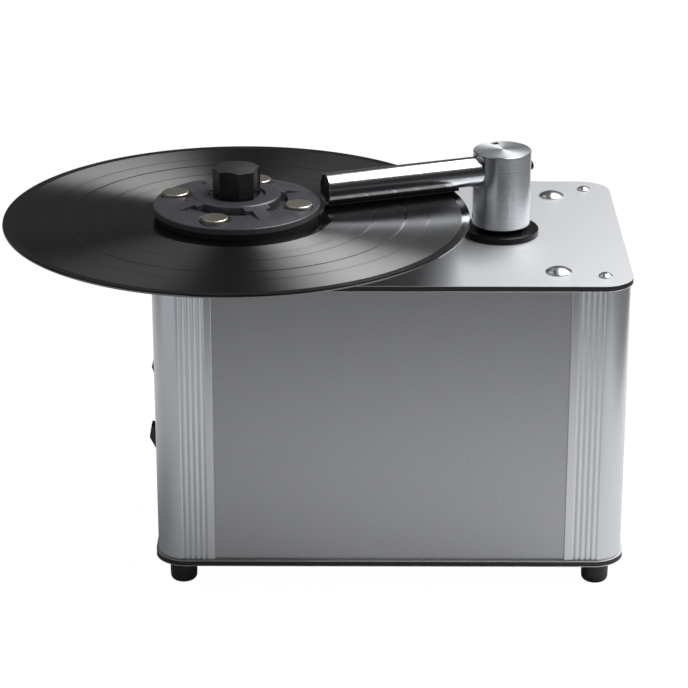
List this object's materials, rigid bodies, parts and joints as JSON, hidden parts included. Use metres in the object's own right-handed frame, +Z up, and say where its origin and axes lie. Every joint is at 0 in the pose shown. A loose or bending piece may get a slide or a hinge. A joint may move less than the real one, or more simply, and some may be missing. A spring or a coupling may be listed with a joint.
{
  "type": "record cleaning machine",
  "caption": "Vacuum record cleaning machine: grooved aluminium case, driven platter with a clamped record, screw-down clamp and a swinging suction arm on a post.",
  "frame": {"origin": "on the ground under the middle of the part's bounding box, the overhanging record included", "axes": "+X to the right seen from the front, +Y to the rear, +Z up"},
  "size_m": [0.4065, 0.342, 0.284],
  "materials": {
    "satin_aluminium": "satin anodised",
    "panel_aluminium": "fine-grained anodised",
    "turned_aluminium": "turned, brushed",
    "black_core": "matte",
    "black_plastic": "satin",
    "black_anodised": "satin",
    "rubber": "matte",
    "vinyl": "gloss, grooved",
    "polished_tube": "polished",
    "steel": "bright",
    "nickel": "satin nickel",
    "brass": "turned",
    "velvet": "pile",
    "grey_plastic": "natural polyethylene",
    "hose": "matte",
    "cast_metal": "cast"
  },
  "bodies": {
    "case": {"top_plate_core": "black_core", "top_plate_skins": "satin_aluminium", "base_plate_core": "black_core", "base_plate_skins": "satin_aluminium", "corner_profile_front_left": "satin_aluminium", "corner_profile_front_right": "satin_aluminium", "corner_profile_rear_left": "satin_aluminium", "corner_profile_rear_right": "satin_aluminium", "front_panel": "panel_aluminium", "rear_panel": "panel_aluminium", "left_panel": "panel_aluminium", "right_panel": "panel_aluminium", "feet": "rubber", "foot_screws": "steel", "top_corner_screws": "steel", "hanger_screws": "nickel", "hanger_strap": "steel", "bearing_housing": "cast_metal", "spindle_bearings": "brass", "housing_screws": "steel", "motor_standoffs": "brass", "gearbox": "cast_metal", "gear_motor": "steel", "arm_flange": "black_anodised", "flange_screws": "black_anodised", "arm_bush": "black_plastic", "bush_nut": "brass", "waste_tank": "grey_plastic", "tank_lid": "grey_plastic", "hoses": "hose", "drain_spout": "black_plastic", "blower_pads": "rubber", "blower_motor": "steel", "blower_housing": "black_plastic", "exhaust_grille": "black_plastic", "mains_inlet": "black_plastic", "inlet_pins": "steel", "inlet_screws": "steel", "switch_bodies": "black_plastic"},
    "platter": {"spindle": "steel", "platter_hub": "turned_aluminium", "platter_mat": "rubber", "record": "vinyl"},
    "clamp": {"clamp_disc": "black_plastic", "clamp_weights": "nickel", "clamp_seal": "rubber"},
    "knob": {"clamp_knob": "black_plastic", "knob_insert": "brass"},
    "swivel": {"swivel_collar": "black_plastic"},
    "arm": {"riser_pipe": "steel", "arm_post": "turned_aluminium", "post_screws": "black_anodised", "suction_tube": "polished_tube", "tube_plug": "black_plastic", "tube_anchor": "brass", "velvet_strips": "velvet"},
    "rotation_switch": {"rotation_rocker": "black_plastic"},
    "vacuum_switch": {"vacuum_rocker": "black_plastic"},
    "impeller": {"blower_impeller": "grey_plastic"},
    "cap": {"drain_cap": "black_plastic"}
  },
  "joints": [
    {"name": "platter_spin", "type": "hinge", "parent": "case", "child": "platter", "pos_m": [-0.05245, -0.02025, 0.2497], "axis": [0, 0, 1], "continuous": true},
    {"name": "clamp_lift", "type": "slide", "parent": "platter", "child": "clamp", "axis": [0, 0, 1], "range_m": [0, 0.005]},
    {"name": "knob_turn", "type": "hinge", "parent": "clamp", "child": "knob", "pos_m": [-0.05245, -0.02025, 0.2497], "axis": [0, 0, 1], "range_deg": [0, 1440]},
    {"name": "arm_swing", "type": "hinge", "parent": "case", "child": "swivel", "pos_m": [0.12174, 0.04236, 0.2233], "axis": [0, 0, 1], "range_deg": [-115, 10]},
    {"name": "arm_lift", "type": "slide", "parent": "swivel", "child": "arm", "axis": [0, 0, 1], "range_m": [0, 0.006]},
    {"name": "rotation_rock", "type": "hinge", "parent": "case", "child": "rotation_switch", "pos_m": [-0.10615, -0.00995, 0.1416], "axis": [0, 1, 0], "range_deg": [-10, 10]},
    {"name": "vacuum_rock", "type": "hinge", "parent": "case", "child": "vacuum_switch", "pos_m": [-0.10615, -0.00995, 0.0919], "axis": [0, 1, 0], "range_deg": [0, 17]},
    {"name": "impeller_spin", "type": "hinge", "parent": "case", "child": "impeller", "pos_m": [0.04725, 0.07205, 0.075], "axis": [0, 0, 1], "continuous": true},
    {"name": "cap_pull", "type": "slide", "parent": "case", "child": "cap", "axis": [0, 1, 0], "range_m": [0, 0.02]}
  ],
  "couplings": [
    {"joint": "knob_turn", "follows": "clamp_lift", "rad_per_m": 5026.5}
  ]
}
